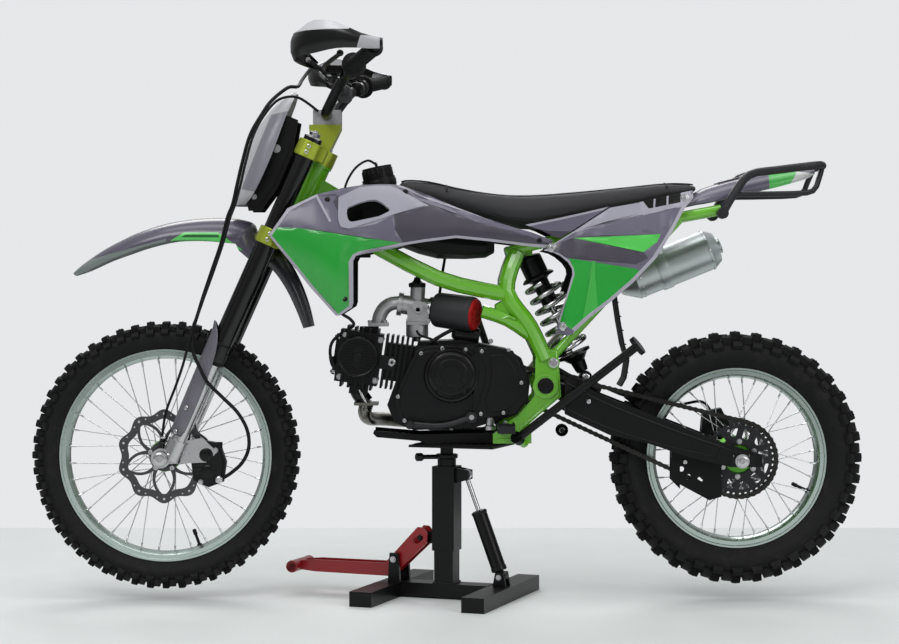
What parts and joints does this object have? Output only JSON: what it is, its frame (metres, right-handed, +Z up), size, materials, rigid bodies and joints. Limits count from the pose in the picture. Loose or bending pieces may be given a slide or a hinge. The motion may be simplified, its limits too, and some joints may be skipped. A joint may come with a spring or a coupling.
{
  "type": "dirt bike",
  "caption": "Off-road motorcycle with knobbly spoked wheels, long fork and hand guards, held up by the lift stand under its engine.",
  "frame": {"origin": "on the floor, half way between the ends of the two tyres and in the bike's middle plane", "axes": "+X forwards, +Y to the rider's left, +Z up"},
  "size_m": [1.7926, 0.802, 1.206],
  "materials": {
    "stand_base": "satin black paint",
    "stand_mast": "satin black paint",
    "stand_pedal": "gloss red paint",
    "damper_body": "satin black paint",
    "damper_rod": "polished",
    "main_frame": "gloss lime-green paint",
    "swingarm": "satin black coat",
    "shock_absorber": "satin",
    "engine_crankcase": "satin black coat",
    "engine_cylinder": "satin black coat",
    "carburettor": "cast",
    "air_filter": "moulded",
    "exhaust_pipe": "satin",
    "muffler": "satin",
    "fuel_tank": "moulded",
    "seat": "grained cover over foam",
    "tank_shrouds": "gloss, green with grey fields",
    "side_panels": "gloss, green with grey fields",
    "rear_fender": "semi-gloss",
    "mud_flap": "ribbed sheet",
    "grab_rail": "satin dark grey paint",
    "skid_plate": "moulded",
    "footpegs": "dark plated",
    "gear_lever": "plated",
    "brake_pedal": "plated",
    "kick_starter": "plated",
    "drive_chain": "oiled",
    "chain_guide": "moulded",
    "rear_brake": "black coat",
    "rear_axle": "plated",
    "side_stand": "satin black paint",
    "triple_clamps": "lime anodised",
    "fork_tubes": "satin black coat",
    "fork_sliders": "polished, black lugs",
    "fork_guards": "moulded",
    "front_fender": "semi-gloss with a green band",
    "number_plate": "semi-gloss",
    "plate_bracket": "moulded",
    "handlebar": "satin black coat",
    "grips": "ribbed",
    "hand_guards": "moulded",
    "control_levers": "black coat",
    "front_axle": "plated",
    "front_brake": "black coat",
    "front_cables": "smooth",
    "front_tyre": "knobbly",
    "front_rim": "satin",
    "front_hub": "green anodised",
    "front_disc": "ground",
    "rear_tyre": "knobbly",
    "rear_rim": "satin",
    "rear_hub": "green anodised",
    "rear_sprocket": "black",
    "rear_disc": "ground"
  },
  "bodies": {
    "lift_stand": {"stand_base": "stand_base"},
    "chassis": {"stand_mast": "stand_mast", "main_frame": "main_frame", "swingarm": "swingarm", "shock_absorber": "shock_absorber", "engine_crankcase": "engine_crankcase", "engine_cylinder": "engine_cylinder", "carburettor": "carburettor", "air_filter": "air_filter", "exhaust_pipe": "exhaust_pipe", "muffler": "muffler", "fuel_tank": "fuel_tank", "seat": "seat", "tank_shrouds": "tank_shrouds", "side_panels": "side_panels", "rear_fender": "rear_fender", "mud_flap": "mud_flap", "grab_rail": "grab_rail", "skid_plate": "skid_plate", "footpegs": "footpegs", "gear_lever": "gear_lever", "brake_pedal": "brake_pedal", "kick_starter": "kick_starter", "drive_chain": "drive_chain", "chain_guide": "chain_guide", "rear_brake": "rear_brake", "rear_axle": "rear_axle"},
    "stand_pedal": {"stand_pedal": "stand_pedal"},
    "damper_body": {"damper_body": "damper_body"},
    "damper_rod": {"damper_rod": "damper_rod"},
    "side_stand": {"side_stand": "side_stand"},
    "steering": {"triple_clamps": "triple_clamps", "fork_tubes": "fork_tubes", "fork_sliders": "fork_sliders", "fork_guards": "fork_guards", "front_fender": "front_fender", "number_plate": "number_plate", "plate_bracket": "plate_bracket", "handlebar": "handlebar", "grips": "grips", "hand_guards": "hand_guards", "control_levers": "control_levers", "front_axle": "front_axle", "front_brake": "front_brake", "front_cables": "front_cables"},
    "front_wheel": {"front_tyre": "front_tyre", "front_rim": "front_rim", "front_hub": "front_hub", "front_disc": "front_disc"},
    "rear_wheel": {"rear_tyre": "rear_tyre", "rear_rim": "rear_rim", "rear_hub": "rear_hub", "rear_sprocket": "rear_sprocket", "rear_disc": "rear_disc"}
  },
  "joints": [
    {"name": "lift", "type": "slide", "parent": "lift_stand", "child": "chassis", "axis": [0, 0, 1], "range_m": [-0.02, 0]},
    {"name": "pedal_pivot", "type": "hinge", "parent": "lift_stand", "child": "stand_pedal", "pos_m": [0.10337, -0.03762, 0.083], "axis": [0.342, 0.9397, 0], "range_deg": [-15, 0.5]},
    {"name": "damper_pivot", "type": "hinge", "parent": "lift_stand", "child": "damper_body", "pos_m": [-0.11746, 0.04275, 0.052], "axis": [0.342, 0.9397, 0], "range_deg": [-0.2, 2.5]},
    {"name": "damper_slide", "type": "slide", "parent": "damper_body", "child": "damper_rod", "axis": [0.3299, -0.1201, 0.9363], "range_m": [-0.0195, 0.0005]},
    {"name": "steering", "type": "hinge", "parent": "chassis", "child": "steering", "pos_m": [0.288, 0, 0.913], "axis": [-0.4067, 0, 0.9135], "range_deg": [-38, 38]},
    {"name": "front_wheel_spin", "type": "hinge", "parent": "steering", "child": "front_wheel", "pos_m": [0.60625, 0, 0.31], "axis": [0, 1, 0], "continuous": true},
    {"name": "rear_wheel_spin", "type": "hinge", "parent": "chassis", "child": "rear_wheel", "pos_m": [-0.62375, 0, 0.305], "axis": [0, 1, 0], "continuous": true},
    {"name": "side_stand_swing", "type": "hinge", "parent": "chassis", "child": "side_stand", "pos_m": [-0.15, 0.096, 0.352], "axis": [-0.4934, -0.7895, -0.365], "range_deg": [0, 128.8]}
  ],
  "couplings": [
    {"joint": "pedal_pivot", "follows": "lift", "rad_per_m": 12.449},
    {"joint": "damper_pivot", "follows": "lift", "rad_per_m": -1.6559},
    {"joint": "damper_slide", "follows": "lift", "ratio": 0.9305}
  ]
}
